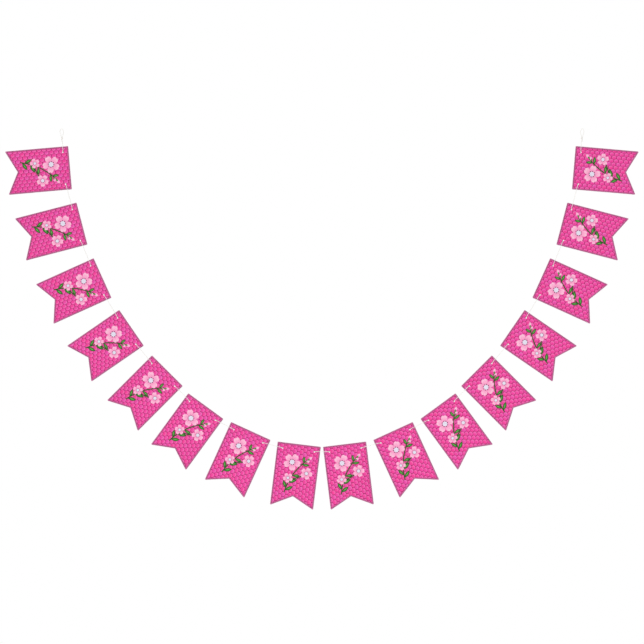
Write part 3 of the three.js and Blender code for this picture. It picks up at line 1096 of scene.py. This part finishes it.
def canvas(name, ink):
    """Matt cotton canvas that shows that share of the print."""
    material, tree = new_material(name)
    place = add_node(tree, "UVMap", uv_map="place_mm")
    picture = add_node(tree, "Group", {"Place": place}, node_tree=print_group)
    threads = add_node(tree, "Group", {"Place": place}, node_tree=weave_group)
    inked = add_node(tree, "Mix", (ink, linear(BARE_COTTON), picture), data_type="RGBA")
    # Painted shade and highlight: the weave's hollows darken the colour and its crests lighten it a little.
    weave_shade = add_node(tree, "MapRange", (threads, *HOLLOW_TO_CREST, *HOLLOW_TO_CREST_SHADE))
    shaded = add_node(tree, "Mix", (1.0, inked, weave_shade), data_type="RGBA", blend_type="MULTIPLY")
    bump = add_node(tree, "Bump", {"Strength": 0.5, "Distance": 0.0003, "Height": threads})
    matt = {**COTTON, "Roughness": 0.86, "Sheen Weight": 0.1, "Sheen Roughness": 0.5}
    skin = add_node(tree, "BsdfPrincipled", {**matt, "Base Color": shaded, "Normal": bump})
    add_node(tree, "OutputMaterial", {"Surface": skin})
    return material


front_canvas = canvas("printed_cotton_canvas", 1.0)
back_canvas = canvas("unprinted_cotton_canvas", STRIKE_THROUGH)
for flag in flags:
    flag.data.materials.append(front_canvas)
    flag.data.materials.append(back_canvas)

# %% [markdown]
# Twine and hem thread are spun cotton. The twine's plies are in the mesh. The fibres are too fine for that,
# so a noise that is stretched along the thread gives them, as bump and as a slight change of tone. Bleached
# cotton is white and matt, and the dyed thread is a greyed plum, as matt, with a little more sheen.

# %% Bleached cotton twine and plum cotton thread
FIBRE_MM = 0.18
FIBRE_STRETCH = 0.12


def spun_cotton(name, tones, lean, sheen):
    """Spun cotton fibre, which runs lean millimetres along the thread for each one that it goes round."""
    material, tree = new_material(name)
    along = add_node(tree, "SeparateXYZ", (add_node(tree, "UVMap", uv_map="place_mm"),))
    across = along.node.outputs["Y"]
    leaning = add_node(tree, "Math", (along, -1 / lean, across), operation="MULTIPLY_ADD")
    stretched = add_node(tree, "Math", (along, FIBRE_STRETCH), operation="MULTIPLY")
    fibres = add_node(tree, "CombineXYZ", (stretched, leaning))
    noise = add_node(tree, "TexNoise", (fibres, 1 / FIBRE_MM, 2.0), noise_dimensions="2D")
    tone = add_node(tree, "ValToRGB", (noise,), stops=tones)
    bump = add_node(tree, "Bump", {"Strength": 0.4, "Distance": 0.0001, "Height": noise})
    matt = {**COTTON, "Roughness": 0.9, "Sheen Weight": sheen, "Sheen Roughness": 0.4}
    skin = add_node(tree, "BsdfPrincipled", {**matt, "Base Color": tone, "Normal": bump})
    add_node(tree, "OutputMaterial", {"Surface": skin})
    return material


TWINE_WHITES = {0.35: "#E8E4DD", 0.6: "#FBF9F6"}
THREAD_PLUMS = {0.35: "#B05A8B", 0.6: "#DB80B1"}
bleached_twine = spun_cotton("bleached_cotton_twine", TWINE_WHITES, lean=3.0, sheen=0.1)
plum_thread = spun_cotton("plum_cotton_thread", THREAD_PLUMS, lean=2.0, sheen=0.2)
for piece in [cord, *loops]:
    piece.data.materials.append(bleached_twine)
for hem in hems:
    hem.data.materials.append(plum_thread)

# %% [markdown]
# The photograph has a bare white ground and light that is the same on every flag. The world gives the
# ground: what the camera sees of it is pure white, and what it sheds on the cloth is softer. A wide key
# light from the upper left brings out each flag's bow, and another from behind lights the backs. Both
# are sun lamps, because their light is as strong on the last flag as on the first. A pale floor lies
# well below, out of the picture, and is so nearly white that its far edge doesn't show in a view from
# above. The Standard view transform shows the printed colours as they are.

# %% Light
AMBIENT = 0.55
Lamp = namedtuple("Lamp", "name azimuth elevation strength width")
LAMPS = [
    Lamp("key_light", azimuth=-38, elevation=34, strength=1.69, width=30),
    Lamp("back_light", azimuth=150, elevation=32, strength=1.5, width=40),
]
world = bpy.data.worlds.new("white_room")
bpy.context.scene.world = world
world.use_nodes = True
sky = world.node_tree
sky.nodes.clear()
shed = add_node(sky, "Background", {"Color": (1, 1, 1, 1), "Strength": AMBIENT})
seen = add_node(sky, "Background", {"Color": (1, 1, 1, 1), "Strength": 1.0})
camera_sees = add_node(sky, "LightPath")
both = add_node(sky, "MixShader", (camera_sees, shed, seen))
add_node(sky, "OutputWorld", {"Surface": both})
for lamp in LAMPS:
    data = bpy.data.lights.new(lamp.name, "SUN")
    data.energy = lamp.strength
    data.angle = math.radians(lamp.width)
    light = bpy.data.objects.new(lamp.name, data)
    light.rotation_euler = (math.radians(90 - lamp.elevation), 0, math.radians(lamp.azimuth))
    bpy.context.scene.collection.objects.link(light)
bpy.context.scene.view_settings.view_transform = "Standard"
print("lights:", [lamp.name for lamp in LAMPS])

# %% Floor
FLOOR_DROP = 1.2
FLOOR_HALF = 5.0
FLOOR_WHITE = "#F8F7F5"
floor_middle = np.array([in_frame(PICTURE_MIDDLE_MM)[0], 0, cad_low.z - FLOOR_DROP])
floor_corners = floor_middle + np.array([(-1, -1, 0), (1, -1, 0), (1, 1, 0), (-1, 1, 0)]) * FLOOR_HALF
floor = mesh_object("floor", floor_corners, [[0, 1, 2, 3]], smooth=False)
floor_paint, tree = new_material("pale_floor_paint")
coat = add_node(tree, "BsdfPrincipled", {"Base Color": linear(FLOOR_WHITE), "Roughness": 0.7})
add_node(tree, "OutputMaterial", {"Surface": coat})
floor.data.materials.append(floor_paint)
print("floor at", round(floor_middle[2], 2), "m")
